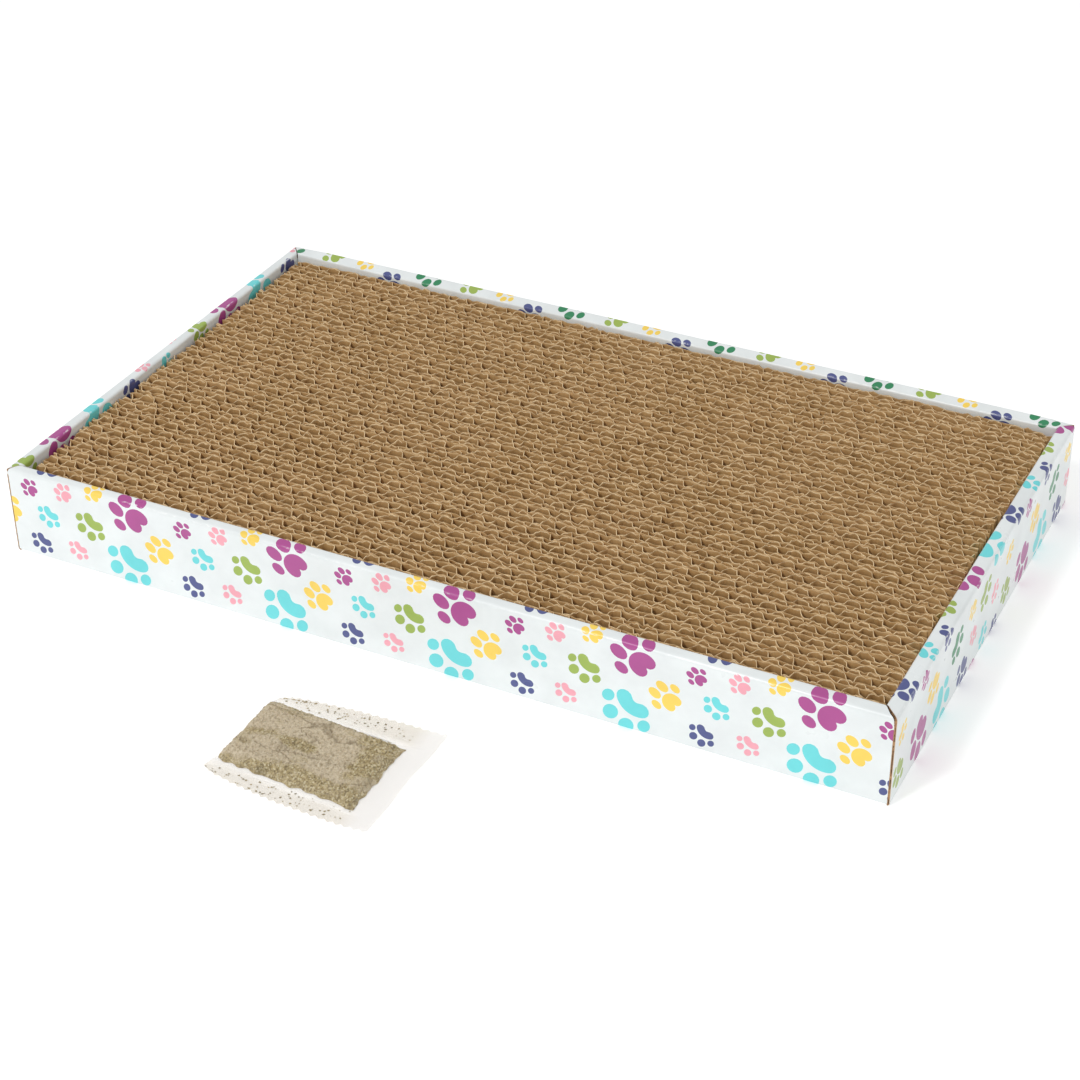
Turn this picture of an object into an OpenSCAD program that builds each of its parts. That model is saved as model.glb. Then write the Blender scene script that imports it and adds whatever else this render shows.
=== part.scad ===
// Cardboard cat scratcher: a printed tray folded from fine-flute board, a lift-out pad of double-wall
// board strips glued side by side on edge, and the loose sachet of herb that goes with it.
// The origin is the middle of the tray's underside, +X runs along the long walls and +Z is up.

/* [Tray] */
// Outside length of the tray, along its long walls
tray_l = 345; // [150:1:600]
// Outside depth of the tray, along its end walls
tray_w = 202; // [120:1:240]
// Height of the tray to the top of its rim
tray_h = 36; // [25:0.5:120]
// Thickness of the fine-flute board that the tray is folded from
board_t = 1.5; // [1.1:0.1:1.7]
// Width of the front and rear walls, which roll over their own board
long_wall_w = 4.7; // [3.5:0.1:12]
// Width of the two end walls, which also hold the corner flaps
end_wall_w = 5.1; // [5.1:0.1:12]
// Drop of the rim from its inner crease to its outer crease
rim_fall = 0.3; // [0:0.1:2]
// Outside radius of every crease
crease_r = 1; // [0.3:0.1:1.4]
// Play between panels that pass each other inside the walls
seam_gap = 0.3; // [0.1:0.1:0.6]

/* [Folds and locks] */
// Length of the corner flaps that are trapped inside the end walls
flap_l = 58; // [20:1:90]
// Width of each lock tab on the end walls' inner panels
tab_w = 30; // [10:1:50]
// Distance between the middles of the two lock tabs of an end wall
tab_pitch = 104; // [60:1:130]
// Play all round a lock tab in its slot
slot_fit = 0.3; // [0.1:0.05:0.6]

/* [Pad] */
// Drop from the top of the rim to the top of the pad
pad_drop = 3.3; // [1:0.1:15]
// Least play between the pad and each long wall
pad_play = 0.4; // [0.2:0.1:2]
// Gap between the left wall and the longest strip end
left_gap = 0.5; // [0.4:0.1:10]
// Gap between the right wall and the longest strip end
right_gap = 0.5; // [0.4:0.1:10]
// How far the strips are out of line with each other at their ends
strip_rag = 1.2; // [0:0.1:5]

/* [Double-wall board] */
// Thickness of each sheet of paper in the board
paper_t = 0.4; // [0.25:0.05:0.55]
// Clear height of the large flutes, between their liners
large_h = 3.3; // [2.5:0.05:5]
// Clear height of the small flutes, between their liners
small_h = 1.95; // [1.6:0.05:3.5]
// Length of one wave of the large flutes
large_pitch = 8.85; // [6:0.05:14]
// Length of one wave of the small flutes
small_pitch = 6.1; // [4.5:0.05:9]
// Thickness of each line of glue, between two sheets of a strip and between two strips
glue_t = 0.03; // [0.02:0.01:0.06]

/* [Sachet] */
// Length of the sachet, along its two crimped seals
sachet_l = 64.5; // [40:0.5:120]
// Width across the sachet at its flat end
flat_end_w = 57; // [40:1:90]
// Width across the sachet at its filled end, which the filling draws in
filled_end_w = 47; // [34:1:80]
// Width of each crimped seal
seal_w = 6.5; // [3:0.5:10]
// Length of the empty film past the filling, at the flat end
empty_l = 10; // [3:0.5:20]
// Height of the filling at its crown
herb_h = 4.2; // [2:0.1:10]
// Thickness of the film
film_t = 0.2; // [0.1:0.05:0.4]
// Distance between two teeth of the pinked seal edges
tooth_pitch = 3.3; // [1:0.1:6]
// Depth of the teeth of the pinked seal edges
tooth_depth = 1; // [0.2:0.1:2]
// Distance between the tray's front wall and the sachet
sachet_gap = 29.3; // [5:0.1:200]
// Place of the sachet's middle along the tray's length
sachet_x = -5; // [-120:0.5:120]
// Turn of the sachet on the floor, in degrees
sachet_turn = 0; // [-180:1:180]

/* [Hidden] */
// Board between the base and the top of the outer and inner panels, where the rim's legs begin
outer_top = tray_h - rim_fall - crease_r - board_t;
inner_top = tray_h - crease_r - board_t;
// Room inside the walls
inner_l = tray_l - 2 * end_wall_w;
inner_w = tray_w - 2 * long_wall_w;
// One overrun for every cut that runs past a face
overrun = 1;
// Straight steps that round a crease
crease_steps = 3;

// One strip of double-wall board is three liners with a layer of small and a layer of large flutes
middle_liner_y = paper_t + small_h + 2 * glue_t;
last_liner_y = middle_liner_y + paper_t + large_h + 2 * glue_t;
strip_t = last_liner_y + paper_t;
strip_count = floor((inner_w - 2 * pad_play) / (strip_t + glue_t));
strip_l = inner_l - left_gap - right_gap - strip_rag;
pad_w = strip_count * strip_t + (strip_count - 1) * glue_t;
pad_h = tray_h - board_t - pad_drop;
// The waves and the end of strip n are shifted by n times n of these shares, so that no row looks like its
// neighbours
large_step_share = 0.382;
small_step_share = 0.276;
rag_step_share = 0.618;
// Shares of a wave that every strip is shifted by besides
large_start_share = 0.31;
small_start_share = 0.17;

// Steps of the film's net along and across the sachet, and how square its filling's shoulders are
film_cols = 10;
film_rows = 10;
shoulder_power = 4;

strip_names = [for (i = [1:strip_count]) str("pad_strip_", i < 10 ? "0" : "", i)];

print_white = "#edf4f2";
kraft = "#a88a62";
clear_film = [0.95, 0.95, 0.93, 0.5];
dried_herb = "#8f8a5e";

// Points along part of a circle
function arc(centre, r, from, to, steps) =
  [for (i = [0:steps])
    let (a = from + (to - from) * i / steps)
    centre + r * [cos(a), sin(a)]];

// Part of a wave that is left over after all whole waves
function left_over(waves) = waves - floor(waves);

// Draws a wall's section along the wall: x of the section runs inward and y of it runs up
module run(length) {
  rotate([90, 0, 90])
    linear_extrude(length, center = true)
      children();
}

// Puts a wall drawn with its outer face at y = 0 in its place
module at_front() {
  translate([0, -tray_w / 2, 0])
    children();
}
module at_rear() {
  mirror([0, 1, 0])
    at_front()
      children();
}
module at_left() {
  translate([-tray_l / 2, 0, 0])
    rotate([0, 0, -90])
      children();
}
module at_right() {
  mirror([1, 0, 0])
    at_left()
      children();
}

// Outer panel, with the crease that turns it up from the base
module outer_panel(length) {
  run(length)
    polygon(concat(
      arc([crease_r, crease_r], crease_r, 270, 180, crease_steps),
      [[0, outer_top], [board_t, outer_top], [board_t, 0]]
    ));
}

// Rim between the two panels: an outer crease, a sloping band and an inner crease, mitred at both ends
module rim(length, width, next_width) {
  outer_c = [crease_r, tray_h - rim_fall - crease_r];
  inner_c = [width - crease_r, tray_h - crease_r];
  slope = atan2(rim_fall, width - 2 * crease_r);
  under = (crease_r - board_t) / cos(slope);
  intersection() {
    run(length)
      polygon(concat(
        [[0, outer_top]],
        arc(outer_c, crease_r, 180, 90 + slope, crease_steps),
        [inner_c + crease_r * [cos(90 + slope), sin(90 + slope)]],
        arc(inner_c, crease_r, 90, 0, crease_steps),
        [[width, inner_top],
         [width - board_t, inner_top],
         [width - board_t, inner_c[1] + under + (crease_r - board_t) * tan(slope)],
         [board_t, outer_c[1] + under - (crease_r - board_t) * tan(slope)],
         [board_t, outer_top]]
      ));
    linear_extrude(tray_h + overrun)
      polygon([[-length / 2, 0], [length / 2, 0],
               [length / 2 - next_width, width], [next_width - length / 2, width]]);
  }
}

// Inner panel, which stands on the base
module inner_panel(length, width) {
  translate([-length / 2, width - board_t, board_t])
    cube([length, board_t, inner_top - board_t]);
}

// End wall's inner panel, whose two tabs lock it into the base
module locked_panel() {
  inner_panel(inner_w - 2 * seam_gap, end_wall_w);
  for (side = [-1, 1])
    translate([side * tab_pitch / 2 - tab_w / 2, end_wall_w - board_t, 0])
      cube([tab_w, board_t, 2 * board_t]);
}

// Slots in the base for one end wall's tabs
module lock_slots() {
  for (side = [-1, 1])
    translate([side * tab_pitch / 2 - tab_w / 2 - slot_fit, end_wall_w - board_t - slot_fit, -overrun])
      cube([tab_w + 2 * slot_fit, board_t + 2 * slot_fit, board_t + 2 * overrun]);
}

module tray_base() {
  color(print_white)
    difference() {
      translate([board_t - tray_l / 2, board_t - tray_w / 2, 0])
        cube([tray_l - 2 * board_t, tray_w - 2 * board_t, board_t]);
      at_left()
        lock_slots();
      at_right()
        lock_slots();
    }
}

module long_wall_outer() {
  color(print_white)
    outer_panel(tray_l - 2 * board_t);
}

module long_wall_inner() {
  color(print_white)
    inner_panel(tray_l - 2 * (2 * board_t + seam_gap), long_wall_w);
}

module end_wall_outer() {
  color(print_white)
    outer_panel(tray_w);
}

module end_wall_inner() {
  color(print_white)
    locked_panel();
}

module long_wall_rim() {
  color(print_white)
    rim(tray_l, long_wall_w, end_wall_w);
}

module end_wall_rim() {
  color(print_white)
    rim(tray_w, end_wall_w, long_wall_w);
}

// Flap from the left end of the front wall, folded round the corner and trapped in the left wall
module corner_flap() {
  color(print_white)
    translate([board_t - tray_l / 2, board_t - tray_w / 2, board_t])
      cube([board_t, flap_l, outer_top - board_t - seam_gap]);
}

// Points of a zigzag that starts one wave before x = 0 and runs past the strip's end
function zigzag(pitch, phase, low, high) =
  [for (i = [-2:2 * ceil(strip_l / pitch) + 1]) [(i / 2 + phase) * pitch, i % 2 == 0 ? low : high]];

// Same points in the other order
function backwards(points) = [for (i = [len(points) - 1:-1:0]) points[i]];

// Waved paper between two liners: a zigzag of the paper's own thickness, cut off square at the strip's ends
module fluted_paper(pitch, clear_h, phase) {
  slope = atan2(clear_h - paper_t, pitch / 2);
  crest_t = paper_t / cos(slope);
  intersection() {
    translate([0, -overrun])
      square([strip_l, clear_h + 2 * overrun]);
    polygon(concat(
      zigzag(pitch, phase, 0, clear_h - crest_t),
      backwards(zigzag(pitch, phase, crest_t, clear_h))
    ));
  }
}

// One sheet of a strip, which stands on edge, from its section at the place y in the strip's thickness
module standing_sheet(y) {
  translate([0, y, 0])
    linear_extrude(pad_h)
      children();
}

// One strip of the pad: three liners with the small flutes and the large flutes glued between them,
// all standing on edge, so that the flutes are upright and open at the top and the bottom
module pad_strip(n) {
  start_x = left_gap - inner_l / 2 + strip_rag * left_over(n * n * rag_step_share);
  start_y = (n - 1) * (strip_t + glue_t) - pad_w / 2;
  large_phase = left_over(n * n * large_step_share + large_start_share);
  small_phase = left_over(n * n * small_step_share + small_start_share);
  color(kraft)
    translate([start_x, start_y, board_t]) {
      for (y = [0, middle_liner_y, last_liner_y])
        standing_sheet(y)
          square([strip_l, paper_t]);
      standing_sheet(paper_t + glue_t)
        fluted_paper(small_pitch, small_h, small_phase);
      standing_sheet(middle_liner_y + paper_t + glue_t)
        fluted_paper(large_pitch, large_h, large_phase);
    }
}

// Half the sachet's width at a share s of its length, from the filled end to the flat end
function half_w(s) = (filled_end_w + (flat_end_w - filled_end_w) * s) / 2;

// Rise of the filling at the shares s along and t across its own field: flat in the middle, round at the edges
function swell(s, t) = herb_h * (1 - pow(abs(2 * s - 1), shoulder_power)) * (1 - pow(abs(2 * t - 1), shoulder_power));

// Place on the sachet at the shares s along and t across the filling's field
function on_field(s, t) =
  let (x = s * (sachet_l - empty_l), half = half_w(x / sachet_l) - seal_w)
  [x - sachet_l / 2, half * (2 * t - 1)];

// Closed solid between a lower and an upper net of points with the same rows and columns
module between_nets(lower, upper) {
  rows = len(lower);
  cols = len(lower[0]);
  count = rows * cols;
  flat = concat([for (row = lower) each row], [for (row = upper) each row]);
  top_faces = [for (r = [0:rows - 2], c = [0:cols - 2])
    let (a = count + r * cols + c)
    each [[a, a + cols, a + cols + 1], [a, a + cols + 1, a + 1]]];
  low_faces = [for (r = [0:rows - 2], c = [0:cols - 2])
    let (a = r * cols + c)
    each [[a, a + cols + 1, a + cols], [a, a + 1, a + cols + 1]]];
  rim_path = concat(
    [for (c = [0:cols - 1]) c],
    [for (r = [1:rows - 1]) r * cols + cols - 1],
    [for (c = [cols - 2:-1:0]) (rows - 1) * cols + c],
    [for (r = [rows - 2:-1:1]) r * cols]
  );
  side_faces = [for (i = [0:len(rim_path) - 1])
    let (a = rim_path[i], b = rim_path[(i + 1) % len(rim_path)])
    each [[a, a + count, b + count], [a, b + count, b]]];
  polyhedron(flat, concat(top_faces, low_faces, side_faces));
}

// Puts the sachet on the floor in front of the tray, with the filled end to the left
module on_floor() {
  translate([sachet_x, -tray_w / 2 - sachet_gap - flat_end_w / 2, 0])
    rotate([0, 0, sachet_turn])
      children();
}

// Lower film, lying flat, with both seals cut to a row of teeth
module sachet_film_lower() {
  teeth = floor(sachet_l / tooth_pitch);
  pitch = sachet_l / teeth;
  edge = [for (i = [0:2 * teeth])
    let (x = i * pitch / 2)
    [x - sachet_l / 2, half_w(x / sachet_l) - (i % 2) * tooth_depth]];
  back = [for (i = [2 * teeth:-1:0]) [edge[i][0], -edge[i][1]]];
  color(clear_film)
    on_floor()
      linear_extrude(film_t)
        polygon(concat(edge, back));
}

// Net of points on the sachet at its rows across and columns along, at height z plus the filling's rise
function film_net(z) =
  [for (r = [0:film_rows])
    [for (c = [0:film_cols])
      let (
        s = c / film_cols,
        t = (r - 1) / (film_rows - 2),
        seal = r == 0 ? -1 : r == film_rows ? 1 : 0,
        p = on_field(s, min(max(t, 0), 1)),
        rise = seal == 0 ? swell(s, t) : 0
      )
      [p[0], p[1] + seal * (seal_w - tooth_depth), z + rise]]];

// Upper film, drawn over the filling and lying on the lower film at the seals and the flat end
module sachet_film_upper() {
  lower = [for (row = film_net(film_t))
    concat(row, [[sachet_l / 2, row[film_cols][1] / half_w(1 - empty_l / sachet_l) * half_w(1), film_t]])];
  upper = [for (row = lower) [for (p = row) p + [0, 0, film_t]]];
  color(clear_film)
    on_floor()
      between_nets(lower, upper);
}

// Dried herb, which fills the film's swell down to its last step at each edge
module sachet_herb() {
  net = film_net(film_t);
  crown = [for (r = [2:film_rows - 2]) [for (c = [1:film_cols - 1]) net[r][c]]];
  base = [for (row = crown) [for (p = row) [p[0], p[1], film_t]]];
  color(dried_herb)
    on_floor()
      between_nets(base, crown);
}

tray_base();
at_front() long_wall_outer();  // front_wall_outer
at_front() long_wall_rim();  // front_wall_rim
at_front() long_wall_inner();  // front_wall_inner
at_rear() long_wall_outer();  // rear_wall_outer
at_rear() long_wall_rim();  // rear_wall_rim
at_rear() long_wall_inner();  // rear_wall_inner
at_left() end_wall_outer();  // left_wall_outer
at_left() end_wall_rim();  // left_wall_rim
at_left() end_wall_inner();  // left_wall_inner
at_right() end_wall_outer();  // right_wall_outer
at_right() end_wall_rim();  // right_wall_rim
at_right() end_wall_inner();  // right_wall_inner
corner_flap();  // corner_flap_front_left
mirror([1, 0, 0]) corner_flap();  // corner_flap_front_right
mirror([0, 1, 0]) corner_flap();  // corner_flap_rear_left
mirror([1, 0, 0]) mirror([0, 1, 0]) corner_flap();  // corner_flap_rear_right
for (n = [1:strip_count])
  pad_strip(n);
sachet_film_lower();
sachet_film_upper();
sachet_herb();
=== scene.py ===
# Cardboard cat scratcher: the looks of a printed tray folded from fine-flute board, a pad of kraft
# double-wall board strips on edge, and a loose sachet of dried herb in clear film.
# Lengths are written in millimetres and turned to metres by MM where a mesh is made.
import math

import bpy
import numpy as np
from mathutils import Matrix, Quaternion, Vector
from mathutils.geometry import delaunay_2d_cdt


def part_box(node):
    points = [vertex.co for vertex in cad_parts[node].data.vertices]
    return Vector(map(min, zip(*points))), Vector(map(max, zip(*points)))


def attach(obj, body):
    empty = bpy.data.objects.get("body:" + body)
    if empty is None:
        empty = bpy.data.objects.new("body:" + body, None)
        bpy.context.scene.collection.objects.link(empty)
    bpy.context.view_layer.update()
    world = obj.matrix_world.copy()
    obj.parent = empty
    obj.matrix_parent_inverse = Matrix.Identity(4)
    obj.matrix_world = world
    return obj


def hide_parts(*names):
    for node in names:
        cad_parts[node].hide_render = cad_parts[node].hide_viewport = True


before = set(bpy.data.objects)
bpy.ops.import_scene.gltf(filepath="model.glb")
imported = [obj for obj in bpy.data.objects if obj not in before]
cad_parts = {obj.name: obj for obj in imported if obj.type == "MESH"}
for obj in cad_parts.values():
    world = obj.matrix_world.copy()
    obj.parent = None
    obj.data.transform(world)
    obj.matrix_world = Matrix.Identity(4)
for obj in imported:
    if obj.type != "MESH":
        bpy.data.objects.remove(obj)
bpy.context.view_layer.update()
MM = 0.001


def box_mm(node):
    """Lowest and highest corner of a CAD node, in millimetres."""
    low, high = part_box(node)
    return low / MM, high / MM


# Sizes read from the frame
base_low, base_high = box_mm("tray_base")
rim_low, rim_high = box_mm("front_wall_rim")
end_low, end_high = box_mm("left_wall_rim")
TRAY_L = rim_high.x - rim_low.x
TRAY_W = end_high.y - end_low.y
TRAY_H = rim_high.z
BOARD_T = base_high.z - base_low.z
OUTER_TOP = rim_low.z
INNER_TOP = box_mm("front_wall_inner")[1].z

# Folds of the wall, as the board takes them: at the foot, at each wall's outer edge and at the inner edge
CREASE_R = 1.0
OUTER_R = {"front": 1.6, "rear": 0.5, "left": 0.7, "right": 1.4}
INNER_R = 1.25
ARC_STEPS = 6
# How far the rim falls towards its outer edge, and the board's thickness where a crease has crushed it
RIM_FALL = 0.3
CRUSHED_T = 0.8
# Width of each wall as it is folded, at its end with the lower run, in the middle and at the other end
WALL_WIDTHS = {"front": (4.4, 4.4, 5.7), "rear": (5.2, 4.8, 4.5),
               "left": (4.4, 4.3, 4.2), "right": (5.8, 5.8, 5.7)}
# How far the rear wall's top stands out of true, outwards, at its left and right ends
REAR_OUT = (0.6, -0.3)
# The rear rim tilts inward: how much higher than the other rims its outer and its inner edge stand, and the
# length over which this dies away at its ends
REAR_TILT = (0.5, -0.9)
TILT_END = 15


# Materials

def linear(code):
    """Turns an sRGB hex colour to linear, with alpha 1."""
    parts = [int(code[i:i + 2], 16) / 255 for i in (1, 3, 5)]
    return tuple(c / 12.92 if c <= 0.04045 else ((c + 0.055) / 1.055) ** 2.4 for c in parts) + (1.0,)


def add_node(tree, kind, inputs=(), **settings):
    """Adds a shader node. Settings are its properties. Inputs maps a socket to a value, or to the output or
    node that it is linked to, where a node stands for its first output in use."""
    made = tree.nodes.new("ShaderNode" + kind)
    for name, value in settings.items():
        setattr(made, name, value)
    for socket, value in dict(inputs).items():
        if isinstance(value, bpy.types.Node):
            value = next(output for output in value.outputs if output.enabled)
        if isinstance(value, bpy.types.NodeSocket):
            tree.links.new(value, made.inputs[socket])
        else:
            made.inputs[socket].default_value = value
    return made


def new_material(name):
    """A new material, its empty node tree and the object coordinates that its patterns read."""
    material = bpy.data.materials.new(name)
    material.use_nodes = True
    tree = material.node_tree
    tree.nodes.clear()
    place = add_node(tree, "TexCoord").outputs["Object"]
    return material, tree, place


def finished(material, inputs):
    """The material, with a Principled shader of these inputs as its surface."""
    shader = add_node(material.node_tree, "BsdfPrincipled", inputs)
    add_node(material.node_tree, "OutputMaterial", {"Surface": shader})
    return material


def speckle(tree, place, size_mm, detail, stretch=(1, 1, 1)):
    """Noise whose grain is about size_mm across, and longer along an axis where stretch is below 1."""
    scaled = add_node(tree, "Mapping", {"Vector": place, "Scale": stretch})
    return add_node(tree, "TexNoise", {"Vector": scaled, "Scale": 1 / (size_mm * MM), "Detail": detail,
                                       "Roughness": 0.55})


def tint(tree, under, over, pattern, stretch, shares=(0, 1)):
    """A colour under and a colour over it, whose share goes from the first to the second of shares where the
    pattern runs along its stretch. A Mix node's share is socket 0, and its colours are sockets 6 and 7."""
    share = add_node(tree, "MapRange", {"Value": pattern, "From Min": stretch[0], "From Max": stretch[1],
                                        "To Min": shares[0], "To Max": shares[1]})
    return add_node(tree, "Mix", {0: share, 6: under, 7: over}, data_type="RGBA")


def coated_board(name, ink_hex):
    """Offset-printed white board under gloss varnish: smooth, a little uneven in its ink and a little wavy
    over the flutes below. Here and there along each crease it turns white: cracks in the ink and a painted
    highlight."""
    material, tree, place = new_material(name)
    uneven = speckle(tree, place, 14, 4)
    grain = speckle(tree, place, 0.7, 3, (0.35, 0.35, 1))
    stretches = speckle(tree, place, 22, 1)
    crease = add_node(tree, "Attribute", attribute_name="crease").outputs["Fac"]
    # Ink that cracks to white along each crease, which also serves as a painted highlight on the bend
    flake_and_glint_grain = add_node(tree, "MapRange", {"Value": grain, "From Min": 0.48, "From Max": 0.62, "To Max": 0.8})
    crack_and_glint_stretches = add_node(tree, "MapRange", {"Value": stretches, "From Min": 0.45, "From Max": 0.6, "To Min": 0.1})
    crack_and_glint_pattern = add_node(tree, "Math", {0: flake_and_glint_grain, 1: crack_and_glint_stretches}, operation="MULTIPLY")
    bent = add_node(tree, "MapRange", {"Value": crease, "From Min": 0.8, "From Max": 0.97})
    cracks_and_painted_highlight = add_node(tree, "Math", {0: bent, 1: crack_and_glint_pattern}, operation="MULTIPLY")
    ink = linear(ink_hex)
    deeper = [c * 0.93 for c in ink[:3]] + [1.0]
    printed = tint(tree, ink, deeper, uneven, (0.35, 0.65))
    base = add_node(tree, "Mix", {0: cracks_and_painted_highlight, 6: printed, 7: linear("#FBFDFC")}, data_type="RGBA")
    roughness = add_node(tree, "MapRange", {"Value": uneven, "From Min": 0.3, "From Max": 0.7,
                                            "To Min": 0.27, "To Max": 0.36})
    ripple = add_node(tree, "TexNoise", {"Vector": place, "Scale": 1 / (9 * MM), "Detail": 2.0})
    bump = add_node(tree, "Bump", {"Height": ripple, "Strength": 0.12, "Distance": 0.3 * MM})
    return finished(material, {"Base Color": base, "Roughness": roughness, "IOR": 1.5, "Normal": bump})


def cut_board():
    """Die-cut edge of the fine-flute board: a white liner, then brown paper with painted shade for the open
    flutes.
    """
    material, tree, place = new_material("die_cut_board_edge")
    ply = add_node(tree, "Attribute", attribute_name="ply").outputs["Fac"]
    fibre = speckle(tree, place, 0.9, 4)
    gaps = speckle(tree, place, 1.7, 1)
    paper = tint(tree, linear("#8A6242"), linear("#C29A6E"), fibre, (0.3, 0.7))
    past_face = add_node(tree, "MapRange", {"Value": ply, "From Min": 0.25, "From Max": 0.4})
    before_back = add_node(tree, "MapRange", {"Value": ply, "From Min": 0.65, "From Max": 0.8,
                                              "To Min": 1, "To Max": 0})
    in_core = add_node(tree, "Math", {0: past_face, 1: before_back}, operation="MULTIPLY")
    # Painted shade: dark patches in the core stand in for the shade inside the open ends of the flutes
    flute_hollow_shade = add_node(tree, "MapRange", {"Value": gaps, "From Min": 0.46, "From Max": 0.56, "To Max": 0.85})
    dark = add_node(tree, "Math", {0: in_core, 1: flute_hollow_shade}, operation="MULTIPLY")
    base = add_node(tree, "Mix", {0: dark, 6: paper, 7: linear("#3B2A1D")}, data_type="RGBA")
    base = tint(tree, base, linear("#E6DDD0"), ply, (0.1, 0.22), (0.75, 0))
    bump = add_node(tree, "Bump", {"Height": fibre, "Strength": 0.5, "Distance": 0.2 * MM})
    return finished(material, {"Base Color": base, "Roughness": 0.9, "Normal": bump})


def kraft_liner():
    """Unprinted inner face of the tray's board: pale recycled kraft, dull, with fibres and specks."""
    material, tree, place = new_material("kraft_liner_back")
    fibre = speckle(tree, place, 2.5, 5, (0.25, 1, 1))
    specks = speckle(tree, place, 0.7, 2)
    base = tint(tree, linear("#B99A70"), linear("#A2835A"), fibre, (0.3, 0.7))
    base = tint(tree, base, linear("#6B5236"), specks, (0.66, 0.72), (0, 0.5))
    bump = add_node(tree, "Bump", {"Height": fibre, "Strength": 0.25, "Distance": 0.1 * MM})
    return finished(material, {"Base Color": base, "Roughness": 0.85, "Normal": bump})


# Painted shade in the flutes: depth below the strips' top where it starts, and where it is darkest
UNSHADED_DEPTH, FULL_SHADE_DEPTH = 0.8, 6


def kraft_flutes():
    """Kraft paper of the double-wall board: brown and dull, with upright streaks from the corrugating rolls
    and a pale band of torn fibre along the sawn top, and with painted shade that makes it darker and redder
    low in the flutes. The painted shade is kept off the pad's two outer faces, which lie in no flute."""
    material, tree, place = new_material("kraft_fluting_paper")
    streaks = speckle(tree, place, 1.6, 4, (1, 1, 0.12))
    sheets = speckle(tree, place, 26, 2)
    fuzz = speckle(tree, place, 0.45, 3)
    paper = tint(tree, linear("#D0AA72"), linear("#B98F58"), streaks, (0.3, 0.7))
    paper = tint(tree, paper, linear("#D4AD78"), sheets, (0.35, 0.65), (0, 0.55))
    # Painted shade: the paper is mixed towards dark brown lower in the flutes, but not on the pad's outer
    # faces
    height = add_node(tree, "SeparateXYZ", {"Vector": place}).outputs["Z"]
    outside = add_node(tree, "Attribute", attribute_name="outside").outputs["Fac"]
    depth = add_node(tree, "MapRange", {"Value": height, "To Min": 0.85, "To Max": 0,
                                        "From Min": (STRIP_TOP - FULL_SHADE_DEPTH) * MM,
                                        "From Max": (STRIP_TOP - UNSHADED_DEPTH) * MM})
    within = add_node(tree, "MapRange", {"Value": outside, "To Min": 1, "To Max": 0.1})
    painted_flute_shade = add_node(tree, "Math", {0: depth, 1: within}, operation="MULTIPLY")
    base = add_node(tree, "Mix", {0: painted_flute_shade, 6: paper, 7: linear("#583710")}, data_type="RGBA")
    cut = add_node(tree, "Attribute", attribute_name="cut").outputs["Fac"]
    liner = add_node(tree, "Attribute", attribute_name="liner").outputs["Fac"]
    rim = add_node(tree, "MapRange", {"Value": cut, "From Min": 0.62, "From Max": 0.9})
    frayed = add_node(tree, "MapRange", {"Value": fuzz, "From Min": 0.35, "From Max": 0.6, "To Min": 0.5})
    edge = add_node(tree, "Math", {0: rim, 1: frayed}, operation="MULTIPLY")
    torn = add_node(tree, "Mix", {0: liner, 6: linear("#F0D6AC"), 7: linear("#CDAD80")}, data_type="RGBA")
    base = add_node(tree, "Mix", {0: edge, 6: base, 7: torn}, data_type="RGBA")
    bump = add_node(tree, "Bump", {"Height": streaks, "Strength": 0.5, "Distance": 0.15 * MM})
    return finished(material, {"Base Color": base, "Roughness": 0.82, "IOR": 1.45, "Normal": bump})


# How much the film hides of what lies below it: where it is empty, over the bed, and added by dust in a seal
EMPTY_ALPHA, BED_ALPHA, DUST_ALPHA = 0.062, 0.03, 0.03


def clear_film():
    """Clear polypropylene film: glossy and thin, so that the floor and the leaf show through, with a faint
    milky haze. Dust clouds it a little in the seals. In a band beside the bed it is made nearly clear in
    streaks, which let the white floor show through as painted glints."""
    material, tree, place = new_material("clear_polypropylene_film")
    crinkle = speckle(tree, place, 5, 3, (0.3, 1, 1))
    glint_streak_noise = speckle(tree, place, 2.2, 3, (0.12, 1, 1))
    drawn = add_node(tree, "Attribute", attribute_name="drawn").outputs["Fac"]
    over_bed = add_node(tree, "Attribute", attribute_name="over_bed").outputs["Fac"]
    dusty = add_node(tree, "Attribute", attribute_name="dusty").outputs["Fac"]
    # Painted glints: in streaks of the band beside the bed most of the haze is taken away, so that the white
    # floor shows through
    glint_streaks = add_node(tree, "MapRange", {"Value": glint_streak_noise, "From Min": 0.42, "From Max": 0.6, "To Min": 0.25})
    painted_glints = add_node(tree, "Math", {0: glint_streaks, 1: drawn}, operation="MULTIPLY")
    milky = add_node(tree, "MapRange", {"Value": over_bed, "To Min": EMPTY_ALPHA, "To Max": BED_ALPHA})
    dust = add_node(tree, "MapRange", {"Value": dusty, "To Max": DUST_ALPHA})
    haze = add_node(tree, "Math", {0: milky, 1: dust}, operation="ADD")
    haze_left = add_node(tree, "MapRange", {"Value": painted_glints, "To Min": 1, "To Max": 0.1})
    alpha = add_node(tree, "Math", {0: haze, 1: haze_left}, operation="MULTIPLY")
    base = add_node(tree, "Mix", {0: dusty, 6: linear("#E1D6C6"), 7: linear("#E1D0AE")}, data_type="RGBA")
    roughness = add_node(tree, "MapRange", {"Value": crinkle, "From Min": 0.3, "From Max": 0.7,
                                            "To Min": 0.05, "To Max": 0.14})
    bump = add_node(tree, "Bump", {"Height": crinkle, "Strength": 0.6, "Distance": 0.7 * MM})
    return finished(material, {"Base Color": base, "Alpha": alpha, "Roughness": roughness, "IOR": 1.49,
                               "Specular IOR Level": 0.8, "Normal": bump})


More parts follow.
